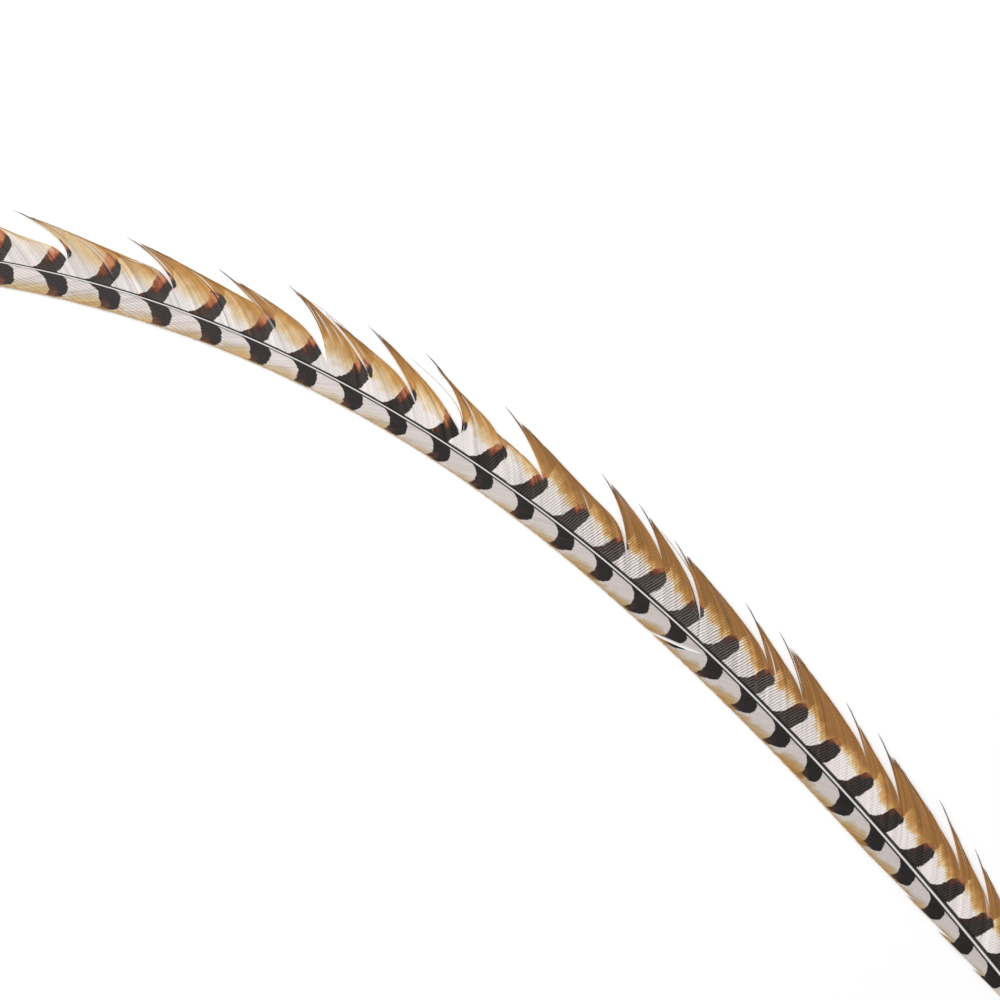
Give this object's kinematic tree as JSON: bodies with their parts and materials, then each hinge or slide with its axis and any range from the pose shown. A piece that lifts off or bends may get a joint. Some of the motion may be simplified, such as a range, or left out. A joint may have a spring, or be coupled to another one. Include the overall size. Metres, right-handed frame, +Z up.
{
  "type": "pheasant tail feather",
  "caption": "Long barred tail feather of a pheasant, gently bent, lying flat: slim shaft with a wide vane split into locks on one side and a narrow vane on the other.",
  "frame": {"origin": "on the surface that the feather lies on, at the middle of the feather's outline", "axes": "+Z up, +X along the straight line from the quill to the tip, the wide vane on the -Y side"},
  "size_m": [1.1042, 0.2255, 0.004],
  "materials": {
    "feather": "silky matte, silver white and golden buff with black and chestnut bars"
  },
  "bodies": {
    "root": {"feather": "feather"}
  },
  "joints": []
}
